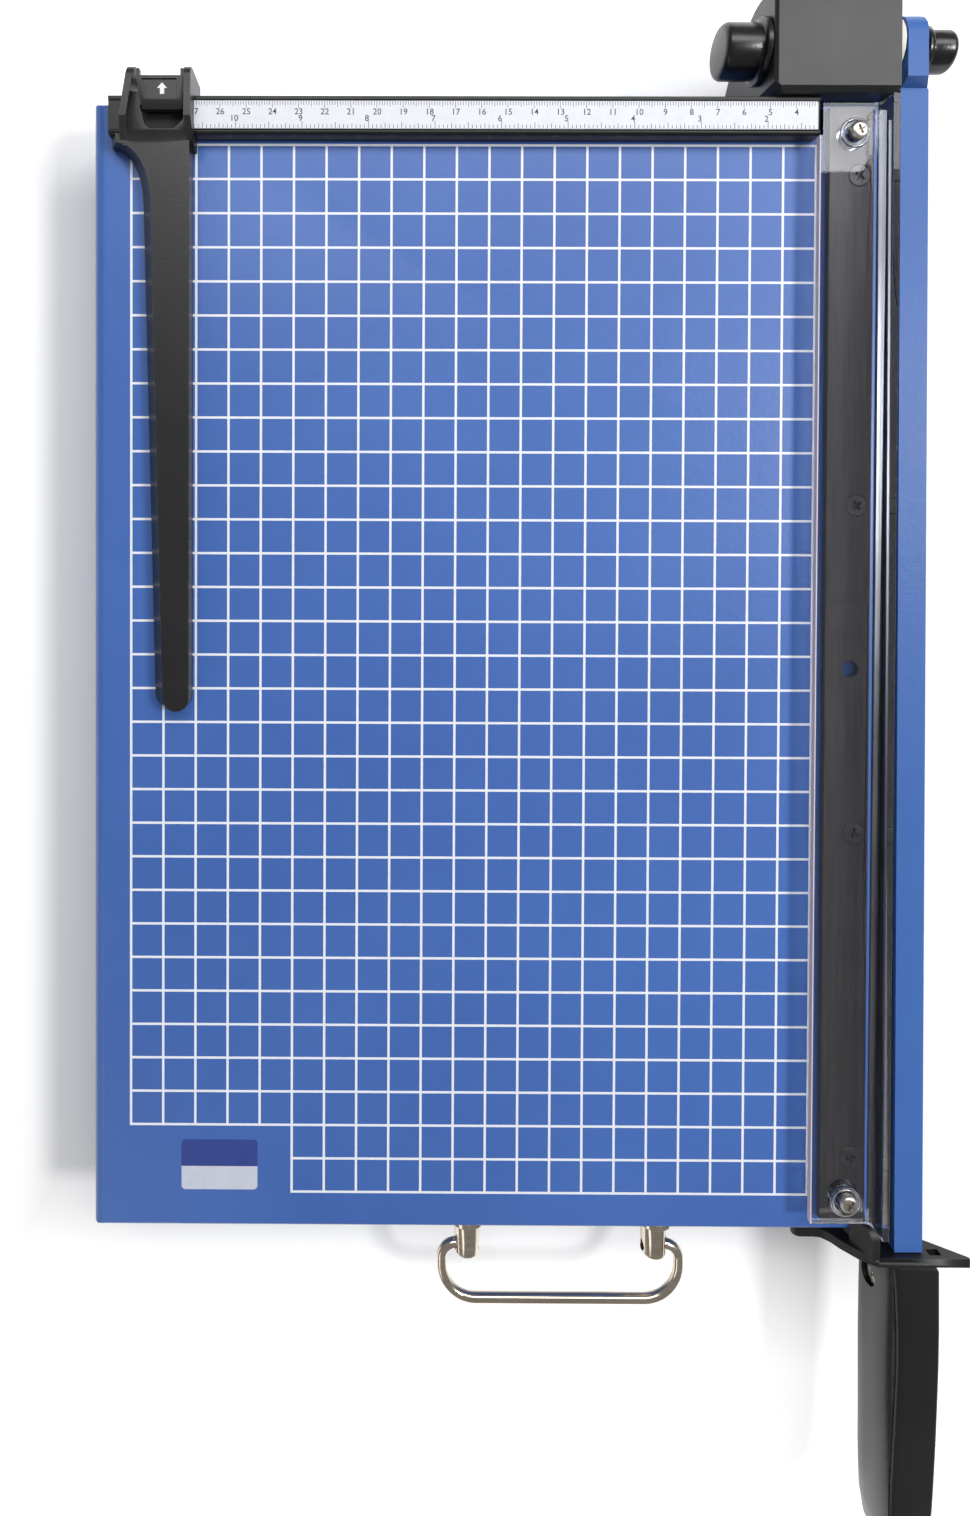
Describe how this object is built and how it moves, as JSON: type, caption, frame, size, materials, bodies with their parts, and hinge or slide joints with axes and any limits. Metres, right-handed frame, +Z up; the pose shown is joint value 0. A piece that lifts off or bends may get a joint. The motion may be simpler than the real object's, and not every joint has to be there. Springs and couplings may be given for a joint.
{
  "type": "guillotine paper trimmer",
  "caption": "Guillotine paper trimmer: blue grid bed, ruler rail with sliding side guide, sprung paper clamp under a clear guard, hinged blade arm with hand guard, carry bail.",
  "frame": {"origin": "centre of the footprint, on the table the feet stand on", "axes": "+X from the side guide towards the blade arm, +Y from the handle end to the ruler rail, +Z up"},
  "size_m": [0.3412, 0.613, 0.0555],
  "materials": {
    "blue_paint": "smooth blue powder coat, satin",
    "black_plastic": "fine-grained black moulding",
    "white_nylon": "natural nylon",
    "black_metal": "black anodised extrusion, satin",
    "scale_strip": "white strip with printed ticks",
    "clamp_grey": "dark grey satin",
    "blade_steel": "ground steel",
    "zinc_steel": "bright zinc plate",
    "nickel": "polished nickel plate",
    "bronze": "sintered bronze",
    "rubber": "black rubber",
    "clear_plastic": "clear acrylic, polished"
  },
  "bodies": {
    "base": {"base_shell": "blue_paint", "foot_front_left": "rubber", "foot_front_right": "rubber", "foot_rear_left": "rubber", "foot_rear_right": "rubber", "ruler_rail": "black_metal", "ruler_strip": "scale_strip", "rail_screw_1": "zinc_steel", "rail_screw_2": "zinc_steel", "rail_screw_3": "zinc_steel", "lower_blade": "blade_steel", "lower_blade_screw_1": "zinc_steel", "lower_blade_screw_2": "zinc_steel", "lower_blade_screw_3": "zinc_steel", "pivot_hub": "black_plastic", "hub_screw_1": "zinc_steel", "hub_screw_2": "zinc_steel", "pivot_bolt": "zinc_steel", "friction_washer": "white_nylon", "pivot_nut": "zinc_steel", "pivot_cap_left": "black_plastic", "pivot_cap_right": "black_plastic", "clear_guard": "clear_plastic", "guard_screw_front": "zinc_steel", "guard_screw_rear": "zinc_steel", "guard_spacer_front": "clear_plastic", "guard_spacer_rear": "clear_plastic", "clamp_spring_1": "zinc_steel", "clamp_spring_2": "zinc_steel", "clamp_spring_3": "zinc_steel", "clamp_spring_4": "zinc_steel", "bail_post_left": "nickel", "bail_post_right": "nickel", "spring_washer": "blade_steel"},
    "blade_arm": {"arm_bar": "blue_paint", "arm_bush": "bronze", "upper_blade": "blade_steel", "blade_screw_1": "zinc_steel", "blade_screw_2": "zinc_steel", "blade_screw_3": "zinc_steel", "blade_screw_4": "zinc_steel", "hand_guard": "black_plastic", "grip_left": "black_plastic", "grip_right": "black_plastic", "handle_screw_1": "zinc_steel", "handle_screw_2": "zinc_steel"},
    "paper_clamp": {"clamp_bar": "clamp_grey", "clamp_screw_1": "zinc_steel", "clamp_screw_2": "zinc_steel", "clamp_screw_3": "zinc_steel", "clamp_screw_4": "zinc_steel", "clamp_nut_1": "zinc_steel", "clamp_nut_2": "zinc_steel", "clamp_nut_3": "zinc_steel", "clamp_nut_4": "zinc_steel"},
    "side_guide": {"side_guide": "black_plastic", "release_spring": "zinc_steel"},
    "release_button": {"release_button": "black_plastic"},
    "carry_bail": {"bail_rod": "nickel"}
  },
  "joints": [
    {"name": "arm_hinge", "type": "hinge", "parent": "base", "child": "blade_arm", "pos_m": [0.1468, 0.28651, 0.0372], "axis": [-1, 0, 0], "range_deg": [0, 70]},
    {"name": "clamp_lift", "type": "slide", "parent": "base", "child": "paper_clamp", "axis": [0, 0, 1], "range_m": [0, 0.00185], "deforming": ["clamp_spring_1", "clamp_spring_2", "clamp_spring_3", "clamp_spring_4"]},
    {"name": "guide_slide", "type": "slide", "parent": "base", "child": "side_guide", "axis": [1, 0, 0], "range_m": [0, 0.2]},
    {"name": "button_slide", "type": "slide", "parent": "side_guide", "child": "release_button", "axis": [0, 1, 0], "range_m": [0, 0.0025], "stiffness_N_per_m": 400, "deforming": ["release_spring"]},
    {"name": "bail_hinge", "type": "hinge", "parent": "base", "child": "carry_bail", "pos_m": [0.0162, -0.18939, 0.03], "axis": [1, 0, 0], "range_deg": [-90, 90]}
  ],
  "couplings": [
    {"joint": "clamp_lift", "follows": "arm_hinge", "m_per_rad": 0.00147}
  ]
}
